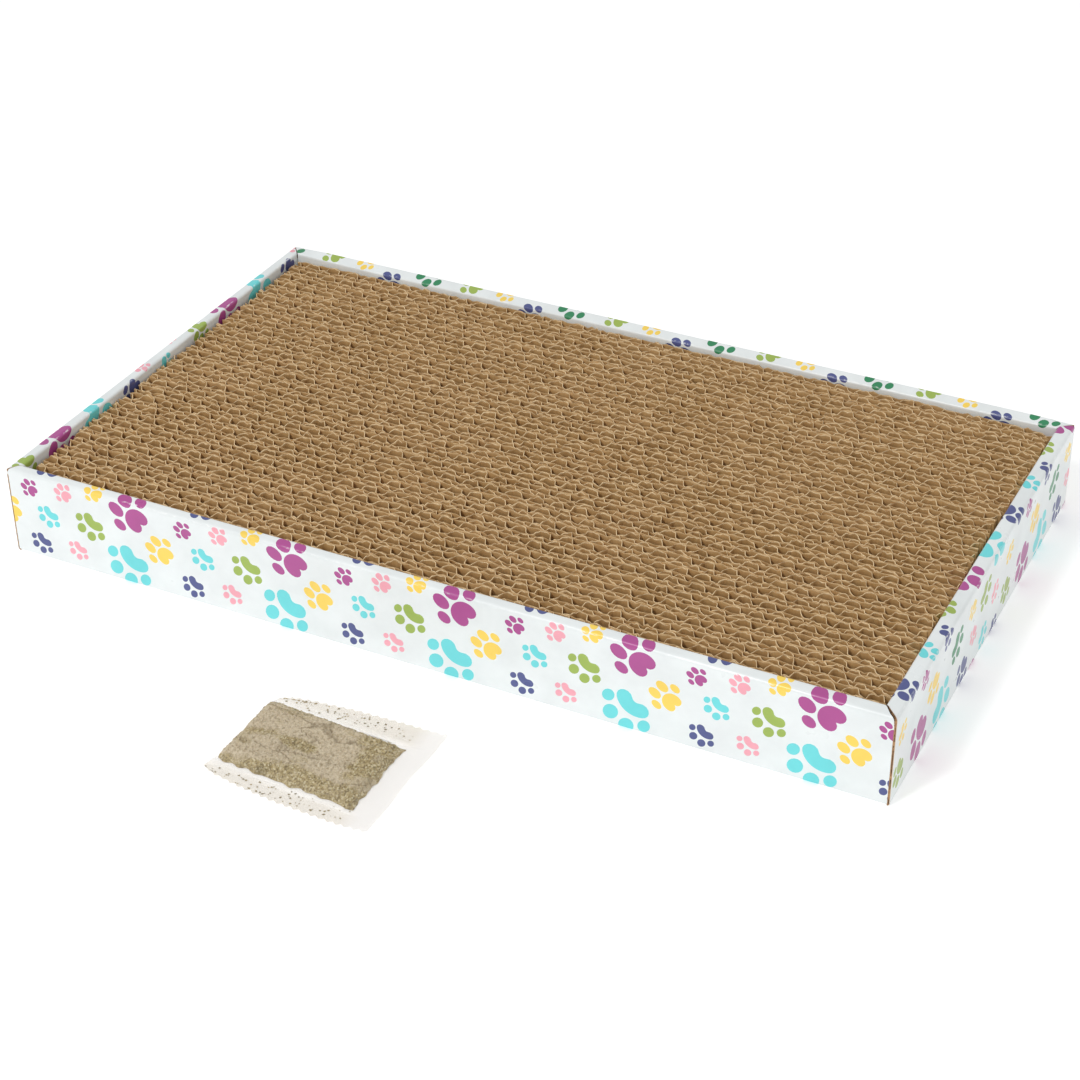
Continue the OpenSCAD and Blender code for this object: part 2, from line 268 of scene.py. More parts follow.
def dried_herb():
    """Dried and rubbed leaf: pressed smooth and greyish under the tight film, with a few fold lines, and
    loose, coarse and olive with pale and dark crumbs where the bed thins out. Crumbs in the seals are the
    darkest."""
    material, tree, place = new_material("dried_rubbed_leaf")
    patch = speckle(tree, place, 7, 3, (0.6, 1, 1))
    crumbs = add_node(tree, "TexVoronoi", {"Vector": place, "Scale": 1 / (0.55 * MM), "Randomness": 1.0})
    red, green, blue = add_node(tree, "SeparateColor", {"Color": crumbs.outputs["Color"]}).outputs
    fine = speckle(tree, place, 0.8, 3)
    smooth_leaf = tint(tree, linear("#BEAE92"), linear("#D6C9AF"), fine, (0.35, 0.65))
    smooth_leaf = tint(tree, smooth_leaf, linear("#8A7A5C"), blue, (0.88, 0.95), (0, 0.5))
    # A fold line runs where its slow noise passes its middle value
    folds = speckle(tree, place, 11, 2, (0.45, 1, 1))
    rising = add_node(tree, "MapRange", {"Value": folds, "From Min": 0.478, "From Max": 0.5, "To Max": 0.7})
    falling = add_node(tree, "MapRange", {"Value": folds, "From Min": 0.5, "From Max": 0.522,
                                          "To Min": 1, "To Max": 0})
    line = add_node(tree, "Math", {0: rising, 1: falling}, operation="MULTIPLY")
    smooth_leaf = add_node(tree, "Mix", {0: line, 6: smooth_leaf, 7: linear("#7D6C4E")}, data_type="RGBA")
    coarse = tint(tree, linear("#95834F"), linear("#BBA97C"), red, (0.2, 0.8))
    coarse = tint(tree, coarse, linear("#D3C7A4"), green, (0.78, 0.84))
    coarse = tint(tree, coarse, linear("#77663A"), green, (0.16, 0.22), (1, 0))
    loose = add_node(tree, "Attribute", attribute_name="loose").outputs["Fac"]
    uneven = add_node(tree, "MapRange", {"Value": patch, "From Min": 0.35, "From Max": 0.65,
                                         "To Min": -0.42, "To Max": 0.42})
    share = add_node(tree, "Math", {0: uneven, 1: loose}, operation="ADD")
    base = tint(tree, smooth_leaf, coarse, share, (0.25, 0.65), (0, 0.85))
    base = tint(tree, base, linear("#5E5228"), share, (1.1, 1.6), (0, 0.85))
    bump = add_node(tree, "Bump", {"Height": crumbs, "Strength": 0.35, "Distance": 0.2 * MM})
    return finished(material, {"Base Color": base, "Roughness": 0.9, "Normal": bump})


# Meshes

def mesh_piece(name, points_mm, faces, materials, material_of=None, **attributes):
    """A new object from points in millimetres, with point attributes and, where it has several materials,
    the number of each face's material."""
    mesh = bpy.data.meshes.new(name)
    mesh.from_pydata((np.asarray(points_mm) * MM).tolist(), [], faces)
    for material in materials:
        mesh.materials.append(material)
    if material_of is not None:
        mesh.polygons.foreach_set("material_index", material_of)
    for label, values in attributes.items():
        mesh.attributes.new(label, "FLOAT", "POINT").data.foreach_set("value", np.asarray(values, np.float32))
    mesh.update()
    piece = bpy.data.objects.new(name, mesh)
    bpy.context.collection.objects.link(piece)
    return piece


def smooth(piece, degrees):
    """Shades a piece smooth except across edges sharper than the angle."""
    bpy.ops.object.select_all(action="DESELECT")
    piece.select_set(True)
    bpy.context.view_layer.objects.active = piece
    bpy.ops.object.shade_smooth_by_angle(angle=math.radians(degrees))


def place_on(piece, body, node):
    """Hands a finished piece over: it rides on the body from now on, and the node that it stands for is
    hidden.
    """
    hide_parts(node)
    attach(piece, body)


# The print: one continuous pattern of paw prints over the whole unfolded blank, on a lattice of equal
# triangles. Sheet coordinates are the base's own x and y, seen through the board, and run on over the
# unfolded walls.
REPEAT = 66.7
ROW = REPEAT * math.sqrt(3) / 2
LATTICE_X = 172.5
LATTICE_Y = -101.0
# Rows and columns of the lattice that cover the whole blank
LATTICE_ROWS, LATTICE_COLUMNS = range(-12, 13), range(-14, 15)
# Headings of the toes, in degrees on the sheet
UP_LEFT = 217
DOWN_LEFT = 124
PURPLE, TURQUOISE, YELLOW, GREEN, SLATE, PINK, PINE = range(1, 8)
INKS = {PURPLE: ("ink_purple", "#B34D94"), TURQUOISE: ("ink_turquoise", "#70DFE3"),
        YELLOW: ("ink_yellow", "#FFDA5F"), GREEN: ("ink_leaf_green", "#A1BA55"),
        SLATE: ("ink_slate_blue", "#50588F"), PINK: ("ink_pink", "#F9ABB9"),
        PINE: ("ink_pine_green", "#2E8A5C")}
# Paws of one cell of the lattice: x, y, width across the whole paw, heading of its toes and ink
PAWS = [
    (65.0, 86.3, 8.0, UP_LEFT, PURPLE), (13.5, 84.5, 8.3, UP_LEFT, PINK),
    (26.9, 80.5, 8.8, UP_LEFT, YELLOW), (42.5, 85.5, 17.8, UP_LEFT, PURPLE),
    (54.1, 98.2, 12.9, UP_LEFT, YELLOW), (5.5, 96.3, 9.7, DOWN_LEFT, TURQUOISE),
    (24.1, 95.4, 12.4, DOWN_LEFT, GREEN), (39.7, 107.9, 18.3, DOWN_LEFT, TURQUOISE),
    (0.5, 109.3, 9.4, DOWN_LEFT, SLATE), (17.1, 107.9, 8.4, DOWN_LEFT, PINK),
    (22.1, 64.3, 12.8, DOWN_LEFT, PINE), (42.5, 64.7, 11.6, UP_LEFT, GREEN),
    (58.1, 65.3, 8.6, DOWN_LEFT, YELLOW), (5.3, 73.8, 12.6, UP_LEFT, SLATE),
]
# How far the folds of a wall lie off the lattice of the print
PRINT_SLIP = {"rear": (0, 1.4), "left": (-6.3, 0)}
# Points round a paw's pad and round a toe, and places of the disc that sweeps the pad out
PAD_POINTS, TOE_POINTS, DISC_PLACES = 32, 16, 41
# Where the middle of a paw's pad lies from the middle of the whole paw, in shares of the paw's width
PAD_AT = -0.195
# Shape of the two kinds of paw, in the same shares from the middle of the pad: the arc that the pad's disc
# runs along (middle, radius, disc's radius and half angle), then the outer and the inner toes (degrees from
# the heading, reach, half length and half width)
PAW_KINDS = {UP_LEFT: ((0.0, 0.145, 0.145, 108), ((61, 0.48, 0.155, 0.115), (19, 0.52, 0.195, 0.145))),
             DOWN_LEFT: ((-0.194, 0.272, 0.160, 48.3), ((63, 0.49, 0.145, 0.12), (21, 0.535, 0.175, 0.15)))}


def ring(count):
    """Angles of a closed outline with that many points."""
    return np.arange(count) * 2 * math.pi / count


def paw_outlines(kind):
    """Outlines of one paw of width 1 with its toes towards +x: a bean-shaped pad and four oval toes."""
    (middle, radius, disc, half), toes = kind
    # The pad is what a disc covers that moves along an arc, seen from a point within it
    eye = max(radius - 0.6 * disc, 0)
    swept = np.radians(np.linspace(-half, half, DISC_PLACES))
    centres = radius * np.stack([np.cos(swept), np.sin(swept)], 1) - [eye, 0]
    rays = np.stack([np.cos(ring(PAD_POINTS)), np.sin(ring(PAD_POINTS))], 1)
    reach = rays @ centres.T
    inside = disc ** 2 - (centres ** 2).sum(1) + reach ** 2
    far = np.where(inside > 0, reach + np.sqrt(np.maximum(inside, 0)), 0).max(1)
    outlines = [far[:, None] * rays + [middle + eye + PAD_AT, 0]]
    for heading, out, length, width in toes:
        oval = np.stack([length * np.cos(ring(TOE_POINTS)), width * np.sin(ring(TOE_POINTS))], 1)
        for side in (-1, 1):
            a = side * math.radians(heading)
            outlines.append(oval + [out * math.cos(a) + PAD_AT, out * math.sin(a)])
    return outlines


PAW_SHAPES = {heading: paw_outlines(kind) for heading, kind in PAW_KINDS.items()}


def paws_on(low, high):
    """Outlines and ink of every paw that reaches into a rectangle of the sheet."""
    found = []
    for row in LATTICE_ROWS:
        for column in LATTICE_COLUMNS:
            for x, y, width, heading, ink in PAWS:
                centre = np.array([LATTICE_X + x + (column + row / 2) * REPEAT, LATTICE_Y + y + row * ROW])
                if np.all(centre > low - width) and np.all(centre < high + width):
                    a = math.radians(heading)
                    spin = np.array([[math.cos(a), math.sin(a)], [-math.sin(a), math.cos(a)]])
                    found += [(centre + width * shape @ spin, ink) for shape in PAW_SHAPES[heading]]
    return found


def counterclockwise(shape):
    """The same outline, turned so that it runs counterclockwise."""
    x, y = np.asarray(shape, float).T
    return shape if np.sum(x * np.roll(y, -1) - y * np.roll(x, -1)) > 0 else shape[::-1]


# How the triangles are made: only inside the outlines, and with points merged that lie this close
INSIDE_ONLY = 1
MERGE_WITHIN = 1e-4


def printed_net(outline, folds, to_sheet, step):
    """Flat triangles inside an outline, with edges along every fold and round every paw, and other points a
    step apart. Returns the points, the triangles and each triangle's ink, 0 where the board is bare."""
    outline = counterclockwise(np.asarray(outline, float))
    low, high = outline.min(0), outline.max(0)
    corners = np.array([to_sheet(p) for p in ((low[0], low[1]), (high[0], high[1]))])
    inked = paws_on(corners.min(0), corners.max(0))
    origin = to_sheet((0, 0))
    from_sheet = np.linalg.inv(np.array([to_sheet((1, 0)) - origin, to_sheet((0, 1)) - origin]))
    points = [Vector(p) for p in outline]
    faces = [list(range(len(outline)))]
    edges = []
    for c in folds:
        edges.append((len(points), len(points) + 1))
        points += [Vector((low[0] - 1, c)), Vector((high[0] + 1, c))]
    for shape, _ in inked:
        faces.append(list(range(len(points), len(points) + len(shape))))
        points += [Vector(p) for p in counterclockwise((shape - origin) @ from_sheet)]
    for x in np.arange(low[0] + step / 2, high[0], step):
        points += [Vector((x, y)) for y in np.arange(low[1] + step / 2, high[1], step)]
    # Each triangle comes with the numbers of the faces that it lies in: 0 is the board, and the paws follow
    made, _, triangles, _, _, sources = delaunay_2d_cdt(points, edges, faces, INSIDE_ONLY, MERGE_WITHIN)
    keep = [(list(t), s) for t, s in zip(triangles, sources) if 0 in s]
    inks = [max([inked[i - 1][1] for i in s if i > 0], default=0) for _, s in keep]
    return np.array([p[:] for p in made]), [t for t, _ in keep], inks


def board(name, outline, folds, to_sheet, place, step=6.0):
    """One panel of printed board: its printed face, the back face below it and the cut edges between them.
    The place function gives the printed face, its normal, the board's thickness and how far it is creased."""
    flat, triangles, inks = printed_net(outline, folds, to_sheet, step)
    used = sorted({i for t in triangles for i in t})
    renumber = {old: new for new, old in enumerate(used)}
    flat = flat[used]
    triangles = [[renumber[i] for i in t] for t in triangles]
    face, normal, thick, crease = place(flat)
    back = face - normal * thick[:, None]
    a, b, c = (face[[t[k] for t in triangles]] for k in range(3))
    if np.sum(np.cross(b - a, c - a) * normal[[t[0] for t in triangles]]) < 0:
        triangles = [t[::-1] for t in triangles]
    count = len(flat)
    directed = {(t[k], t[(k + 1) % 3]) for t in triangles for k in range(3)}
    cut = [[j, i, i + count, j + count] for i, j in directed if (j, i) not in directed]
    faces = triangles + [[i + count for i in t[::-1]] for t in triangles] + cut
    materials = [PRINTED_WHITE] + [INK_MATERIALS[i] for i in INKS] + [CUT_EDGE, LINER_BACK]
    numbers = inks + [len(materials) - 1] * len(triangles) + [len(materials) - 2] * len(cut)
    piece = mesh_piece(name, np.concatenate([face, back]), faces, materials, numbers,
                       crease=np.tile(crease, 2), ply=np.repeat([0.0, 1.0], count))
    smooth(piece, degrees=32)
    return piece


# The wall's section, as distances inward and up along the printed face from the foot of the outer panel.
# A stretch longer than FLAT_LENGTH is a flat one, and FLAT_MARGIN keeps its shading off the arcs beside it.
FLAT_LENGTH, FLAT_MARGIN = 0.9, 0.2
# Rows of the section up to the rim: the foot's arc, the outer panel's two and the outer arc
OUTER_ROWS = 2 * (ARC_STEPS + 1) + 2


def wall_section(width, outer_r):
    """The printed face in a section across a wall: climb along it, and rows of inward, up, the normal's angle
    and how far the board is bent, from 0 on a flat stretch to 1 in the middle of a crease."""
    slope = math.atan2(RIM_FALL, width - outer_r - INNER_R)
    arcs = [((CREASE_R, CREASE_R), CREASE_R, 1.5 * math.pi, math.pi),
            ((outer_r, TRAY_H - RIM_FALL - outer_r), outer_r, math.pi, math.pi / 2 + slope),
            ((width - INNER_R, TRAY_H - INNER_R), INNER_R, math.pi / 2 + slope, 0.0)]
    rows = []
    for (inward, up), radius, start, end in arcs:
        for i in range(ARC_STEPS + 1):
            a = start + (end - start) * i / ARC_STEPS
            bend = math.sin(math.pi * i / ARC_STEPS)
            rows.append((inward + radius * math.cos(a), up + radius * math.sin(a), a, bend))
    rows.append((width, BOARD_T, 0.0, 0.0))
    rows = np.array(rows)
    spread = [rows[0]]
    for row, following in zip(rows, rows[1:]):
        gap = following - row
        length = math.hypot(gap[0], gap[1])
        if length > FLAT_LENGTH:
            margin = FLAT_MARGIN / length
            spread += [row + gap * margin, following - gap * margin]
        spread.append(following)
    spread = np.array(spread)
    climb = np.concatenate([[0], np.cumsum(np.hypot(np.diff(spread[:, 0]), np.diff(spread[:, 1])))])
    # Climb at the seams between the outer panel, the rim and the inner panel
    outer_seam = np.interp(OUTER_TOP, spread[:OUTER_ROWS, 1], climb[:OUTER_ROWS])
    return climb, spread, outer_seam, climb[-1] - (INNER_TOP - BOARD_T)


SECTIONS = {wall: wall_section(widths[1], OUTER_R[wall]) for wall, widths in WALL_WIDTHS.items()}


def slow_noise(seed, wavelengths, count=10):
    """A smooth field over points, as a sum of waves with directions and phases drawn from a seed."""
    draw = np.random.default_rng(seed)
    directions = draw.normal(size=(count, 3))
    directions /= np.linalg.norm(directions, axis=1)[:, None]
    lengths = draw.uniform(*wavelengths, size=count)
    phases = draw.uniform(0, 2 * math.pi, size=count)
    waves = directions * (2 * math.pi / lengths)[:, None]

    def field(points):
        return np.sin(points @ waves.T + phases).sum(1) / math.sqrt(count / 2)
    return field


def eased(value, start, end):
    """Share from 0 at the start to 1 at the end, level at both."""
    share = np.clip((value - start) / (end - start), 0, 1)
    return share * share * (3 - 2 * share)


warp = slow_noise(3, (45, 160))


def out_of_true(points):
    """Moves points of the tray as its rear wall stands out of true, more towards the top."""
    moved = points.copy()
    along = points[:, 0] / TRAY_L + 0.5
    rear = REAR_OUT[0] + (REAR_OUT[1] - REAR_OUT[0]) * along
    to_rear = points[:, 1] / TRAY_W + 0.5
    moved[:, 1] += points[:, 2] / TRAY_H * (to_rear * rear)
    return moved


# Thickness of the end walls' board where its cut edge is pressed to the front and rear walls, and the length
# over which it is pressed
END_T = {"left": 0.5, "right": 0.95}
PRESSED_END = 1.5
# How far the outer panels bow in, and the lengths over which they start to from their foot, rim and ends
BOW = 0.22
BOW_FROM_FOOT, BOW_FROM_RIM, BOW_FROM_END = 14, 10, 18


def wall_place(wall):
    """Function that puts points of a wall's flat net, which are its run and climb, on that wall."""
    axis, side = {"front": (1, -1), "rear": (1, 1), "left": (0, -1), "right": (0, 1)}[wall]
    reach, half = (TRAY_L / 2, TRAY_W / 2) if axis == 0 else (TRAY_W / 2, TRAY_L / 2)
    climbs, section, outer_seam, inner_seam = SECTIONS[wall]
    widths = WALL_WIDTHS[wall]

    def place(flat):
        run, climb = flat[:, 0], flat[:, 1]
        inward, up, angle, arc = (np.interp(climb, climbs, section[:, k]) for k in range(4))
        band = np.clip((inward - OUTER_R[wall]) / (widths[1] - OUTER_R[wall] - INNER_R), 0, 1)
        inward = inward + band * (np.interp(run, (-half, 0, half), widths) - widths[1])
        if wall == "rear":
            tilt = REAR_TILT[0] + (REAR_TILT[1] - REAR_TILT[0]) * band
            up = up + tilt * up / TRAY_H * np.clip((half - np.abs(run)) / TILT_END, 0, 1)
        face = np.zeros((len(flat), 3))
        face[:, 1 - axis] = run
        face[:, axis] = side * (reach - inward)
        face[:, 2] = up
        normal = np.zeros_like(face)
        normal[:, axis] = -side * np.cos(angle)
        normal[:, 2] = np.sin(angle)
        above_foot = np.clip((climb - climbs[ARC_STEPS]) / BOW_FROM_FOOT, 0, 1)
        below_rim = np.clip((outer_seam - climb) / BOW_FROM_RIM, 0, 1)
        off_end = np.clip((half - np.abs(run)) / BOW_FROM_END, 0, 1)
        face -= normal * (BOW * (above_foot * below_rim) * off_end * (1 + warp(face)))[:, None]
        thick = BOARD_T + (CRUSHED_T - BOARD_T) * np.clip(2 * arc, 0, 1)
        if wall in END_T:
            pressed = np.clip(1 - (half - np.abs(run)) / PRESSED_END, 0, 1)
            thick += (END_T[wall] - thick) * pressed
        # The rim's creases carry the bend share on to the print, where it brings cracks in the ink and a
        # painted highlight
        folded = (climb > outer_seam) & (climb < inner_seam)
        return out_of_true(face), normal, thick, np.where(folded, arc, 0.0)
    return place


def wall_sheet(wall):
    """Function from a wall's flat net to the sheet of the unfolded blank."""
    along, out = {"front": ((1, 0), (0, -1)), "rear": ((1, 0), (0, 1)),
                  "left": ((0, 1), (-1, 0)), "right": ((0, 1), (1, 0))}[wall]
    start = {"front": (0, CREASE_R - TRAY_W / 2), "rear": (0, TRAY_W / 2 - CREASE_R),
             "left": (CREASE_R - TRAY_L / 2, 0), "right": (TRAY_L / 2 - CREASE_R, 0)}[wall]
    start = np.array(start) + PRINT_SLIP.get(wall, (0, 0))
    return lambda p: start + p[0] * np.array(along) + p[1] * np.array(out)


def next_width(wall, end):
    """Width of the wall that meets this one at its end with the lower run, 0, or the higher run, 2."""
    neighbours = ("left", "right") if wall in ("front", "rear") else ("front", "rear")
    return WALL_WIDTHS[neighbours[end // 2]][2 if wall in ("rear", "right") else 0]


# How far each outer panel ends before the corner
OUTER_SHORT = {"front": 0.55, "rear": 0.8, "left": 0, "right": 0}
# Gap between the inner panels at a corner
SEAM_GAP = 0.1
# Gap left by each mitre of the rims, at the end with the lower and the higher run
MITRE_GAP = {"front": (0.25, 1.1), "rear": (0.3, 0.3), "left": (0.1, 0.3), "right": (0.1, 0.3)}


def rectangle(low_run, high_run, low_climb, high_climb):
    """Outline of a plain panel of the flat net."""
    return [(low_run, low_climb), (high_run, low_climb), (high_run, high_climb), (low_run, high_climb)]


def make_wall(wall):
    """The three panels of one wall: outer panel, rim with mitred ends and inner panel."""
    long = wall in ("front", "rear")
    half = (TRAY_L if long else TRAY_W) / 2
    place, to_sheet = wall_place(wall), wall_sheet(wall)
    climbs, section, outer_seam, inner_seam = SECTIONS[wall]
    folds = climbs[1:-1]
    reach = half - OUTER_SHORT[wall]
    outer = board(wall + "_wall_outer_board", rectangle(-reach, reach, 0, outer_seam),
                  [c for c in folds if c < outer_seam], to_sheet, place)
    stops = [c for c in [outer_seam, *folds, inner_seam] if outer_seam <= c <= inner_seam]
    inward = np.interp(stops, climbs, section[:, 0]) / WALL_WIDTHS[wall][1]
    low_gap, high_gap = MITRE_GAP[wall]
    mitred = [(half - high_gap - i * next_width(wall, 2), c) for i, c in zip(inward, stops)]
    mitred += [(low_gap + i * next_width(wall, 0) - half, c) for i, c in zip(inward[::-1], stops[::-1])]
    rim = board(wall + "_wall_rim_board", mitred, stops[1:-1], to_sheet, place, step=3.0)
    if long:
        low, high = (corner.x for corner in box_mm(wall + "_wall_inner"))
    else:
        low, high = SEAM_GAP + next_width(wall, 0) - half, half - SEAM_GAP - next_width(wall, 2)
    inner = board(wall + "_wall_inner_board", rectangle(low, high, inner_seam, climbs[-1]),
                  [c for c in folds if c > inner_seam], to_sheet, place)
    for piece, part in ((outer, "outer"), (rim, "rim"), (inner, "inner")):
        place_on(piece, "tray", f"{wall}_wall_{part}")


def base_place(flat):
    """Puts the base's flat net on the underside, printed face down."""
    face = np.concatenate([flat, np.zeros((len(flat), 1))], 1)
    normal = np.tile([0.0, 0.0, -1.0], (len(flat), 1))
    return face, normal, np.full(len(flat), BOARD_T), np.zeros(len(flat))


def make_base():
    """The base, printed on its underside."""
    outline = rectangle(base_low.x, base_high.x, base_low.y, base_high.y)
    piece = board("tray_base_board", outline, [], np.array, base_place, step=12.0)
    place_on(piece, "tray", "tray_base")


# The pad: strips of double-wall board, each of three liners with a layer of large and of small flutes

STRIPS = sorted(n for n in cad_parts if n.startswith("pad_strip_"))
strip_low, strip_high = box_mm(STRIPS[0])
STRIP_L = strip_high.x - strip_low.x
STRIP_FOOT, STRIP_TOP = strip_low.z, strip_high.z
# Room for each paper of a strip, the thickness that it is drawn with, and the glue between papers
PAPER_T = 0.3
THIN_T = 0.24
GLUE_T = 0.03
LARGE_H, SMALL_H = 3.5, 2.05
LARGE_PITCH, SMALL_PITCH = 8.85, 6.1
# Shares of a wave by which strip n is shifted n times n times, and all strips besides
LARGE_SHIFT, SMALL_SHIFT = (0.382, 0.31), (0.276, 0.17)
# Length of the faces along a paper, and shares of its height at which its rows of points lie
LINER_STEP, FLUTE_STEP = 2.0, 0.5
ROW_HEIGHTS = [0.0, 0.55, 0.86, 0.965, 1.0]
# Shares of a pressed wave at which its steep side rises and its slanting side falls
RISE, FALL = (0.0, 0.20), (0.50, 0.74)
WAVE_POINTS = 241
# Distance to either side of a point from which a paper's direction there is taken
NEARBY = 0.05
# How far the flutes drift in their strip, and the papers along and across the pad. Papers stay nearly
# upright: UPRIGHT is the share of their height that counts in this drift.
FLUTE_DRIFT, DRIFT_ALONG, DRIFT_ACROSS = 0.24, 0.30, 0.24
UPRIGHT = 0.25
# At the sawn top, the papers' lean, their burr and how far they are frayed upwards. The higher the power, the
# nearer to the top it stays.
LEAN, BURR, FRAY = 0.18, 0.25, 0.2
TOP_POWER = 6
# How far the pad lies askew in the tray, in radians, and how far it is pushed to the left and the front
PAD_TURN = 0.0063
PAD_PUSH = (-0.7, 0.5)
# Where the rear wall presses the last strips together, over which length, and where they would end if free
PAD_END_Y, PRESSED_L, FREE_END_Y = 95.6, 8, 96.5
# How far their right end lies off the wall, from where, over which length and by which power it goes off
PAD_CORNER, CORNER_X, CORNER_L, CORNER_POWER = 2.2, 150, 16, 1.5
# First of the numbers that the flutes' own drifts are drawn from
FLUTE_SEED = 500

drift_x = slow_noise(11, (14, 46))
drift_y = slow_noise(12, (11, 34))
lean_x = slow_noise(13, (5, 14))
lean_y = slow_noise(14, (4, 12))
burr = slow_noise(15, (1.2, 3.2), count=16)


def thin_grid(columns, rows):
    """A flat grid of faces given a thickness. Each point is its share of the length and of the width, and -1
    or 1 for its side."""
    bpy.ops.object.select_all(action="DESELECT")
    bpy.ops.mesh.primitive_grid_add(x_subdivisions=columns, y_subdivisions=rows, size=1)
    grid = bpy.context.active_object
    thick = grid.modifiers.new("thickness", "SOLIDIFY")
    thick.thickness = 1.0
    thick.offset = 0.0
    bpy.ops.object.modifier_apply(modifier=thick.name)
    points = np.zeros(len(grid.data.vertices) * 3, np.float32)
    grid.data.vertices.foreach_get("co", points)
    points = points.reshape(-1, 3).astype(float)
    faces = [list(f.vertices) for f in grid.data.polygons]
    bpy.data.objects.remove(grid)
    return np.stack([points[:, 0] + 0.5, points[:, 1] + 0.5, np.sign(points[:, 2])], 1), faces


def flat_paper(step):
    """A flat sheet of the pad's paper, with its rows of faces closer together at the top."""
    points, faces = thin_grid(round(STRIP_L / step), len(ROW_HEIGHTS) - 1)
    row = np.round(points[:, 1] * (len(ROW_HEIGHTS) - 1))
    points[:, 1] = np.interp(row, range(len(ROW_HEIGHTS)), ROW_HEIGHTS)
    return points, faces


def straight(along):
    """Centre line of a liner."""
    return np.stack([along, np.full_like(along, PAPER_T / 2)], 1)


def pressed_wave():
    """One wave as pressing leaves it, a steep side, a flat crest and a slanting side: its share of the
    paper's length, its share of the pitch and its height from -1 to 1."""
    x = np.linspace(0, 1, WAVE_POINTS)
    y = 1 - 2 * (1 - np.clip((x - RISE[0]) / (RISE[1] - RISE[0]), 0, 1)) ** 3 - 2 * eased(x, *FALL)
    run = np.concatenate([[0], np.cumsum(np.hypot(np.diff(x) * LARGE_PITCH, np.diff(y) * LARGE_H / 2))])
    return run / run[-1], x, y


WAVE = pressed_wave()
# Share of the pitch from a wave's start to the middle of its low crest
LOW_MIDDLE = (FALL[1] + 1) / 2


def fluted(pitch, clear_h, phase, uneven):
    """Centre line of a fluted paper between its liners, with the middle of a low crest at the phase."""
    def line(along):
        turn = along / pitch - phase + LOW_MIDDLE
        whole = np.floor(turn)
        x = (whole + np.interp(turn - whole, WAVE[0], WAVE[1]) + phase - LOW_MIDDLE) * pitch
        x = x + FLUTE_DRIFT * uneven(np.stack([along, along * 0, along * 0], 1))
        y = np.interp(turn - whole, WAVE[0], WAVE[2])
        return np.stack([x, clear_h / 2 + (clear_h - PAPER_T) / 2 * y], 1)
    return line


def bent_paper(paper, line):
    """Bends a flat sheet along a line and keeps its thickness."""
    along = paper[:, 0] * STRIP_L
    run = line(along + NEARBY) - line(along - NEARBY)
    run /= np.linalg.norm(run, axis=1)[:, None]
    flat = line(along) + THIN_T / 2 * paper[:, 2:3] * run[:, ::-1] * [-1, 1]
    return np.stack([np.clip(flat[:, 0], 0, STRIP_L), flat[:, 1], paper[:, 1] * (STRIP_TOP - STRIP_FOOT)], 1)


def settle(points):
    """Moves a strip's papers as cutting, gluing and handling leave them: out of line, leaning and burred, and
    pressed together before the rear wall."""
    moved = points.copy()
    flat = points * [1, 1, UPRIGHT]
    moved[:, 0] += DRIFT_ALONG * drift_x(flat)
    moved[:, 1] += DRIFT_ACROSS * drift_y(flat) + PAD_TURN * points[:, 0]
    near_top = ((points[:, 2] - STRIP_FOOT) / (STRIP_TOP - STRIP_FOOT)) ** TOP_POWER
    moved[:, 0] += near_top * LEAN * lean_x(points)
    moved[:, 1] += near_top * LEAN * lean_y(points)
    moved[:, 2] += near_top * (BURR * burr(points) + FRAY)
    start = PAD_END_Y - PRESSED_L
    room = PAD_END_Y - PAD_CORNER * np.clip((points[:, 0] - CORNER_X) / CORNER_L, 0, 1) ** CORNER_POWER
    free_end = FREE_END_Y + PAD_TURN * points[:, 0]
    pressed = np.minimum((room - start) / (free_end - start), 1)
    moved[:, 1] = np.where(moved[:, 1] > start, start + (moved[:, 1] - start) * pressed, moved[:, 1])
    return moved


def make_strip(number, node, liner, flute):
    """One strip of the pad, from five papers of its own."""
    low = box_mm(node)[0]
    corner = np.array([low.x + PAD_PUSH[0], low.y + PAD_PUSH[1], STRIP_FOOT])
    middle_y = PAPER_T + SMALL_H + 2 * GLUE_T
    last_y = middle_y + PAPER_T + LARGE_H + 2 * GLUE_T
    papers = [(liner, straight, y) for y in (0, middle_y, last_y)]
    layers = ((middle_y + PAPER_T + GLUE_T, LARGE_H, LARGE_PITCH, LARGE_SHIFT),
              (PAPER_T + GLUE_T, SMALL_H, SMALL_PITCH, SMALL_SHIFT))
    for layer, (y, clear_h, pitch, (step, start)) in enumerate(layers):
        phase = (number * number * step + start) % 1
        uneven = slow_noise(FLUTE_SEED + 2 * number + layer, (pitch * 1.5, pitch * 5), count=6)
        papers.append((flute, fluted(pitch, clear_h, phase, uneven), y))
    pad_faces = ((1, 0), (len(STRIPS), last_y))
    points, faces, cut, is_liner, outside, count = [], [], [], [], [], 0
    for (paper, paper_faces), line, y in papers:
        points.append(bent_paper(paper, line) + corner + [0, y, 0])
        faces += [[i + count for i in f] for f in paper_faces]
        cut.append(paper[:, 1] == 1)
        is_liner.append(np.full(len(paper), line is straight))
        outside.append(np.full(len(paper), (number, y) in pad_faces))
        count += len(paper)
    cut, is_liner, outside = (np.concatenate(values) for values in (cut, is_liner, outside))
    piece = mesh_piece(node + "_board", settle(np.concatenate(points)), faces, [FLUTES],
                       cut=cut, liner=is_liner, outside=outside)
    smooth(piece, degrees=50)
    place_on(piece, "pad", node)


def make_pad():
    """All strips of the pad."""
    liner, flute = flat_paper(LINER_STEP), flat_paper(FLUTE_STEP)
    for number, node in enumerate(STRIPS, 1):
        make_strip(number, node, liner, flute)


# The sachet: two clear films sealed round a bed of dried leaf. Its long edges are cut to teeth, its filled
# end is a fold, and past the bed the films lie empty. Places are from the middle of the sachet.

SACHET_X, SACHET_Y = -5.0, -158.8
SACHET_L = 64.5
FILM_T = 0.1
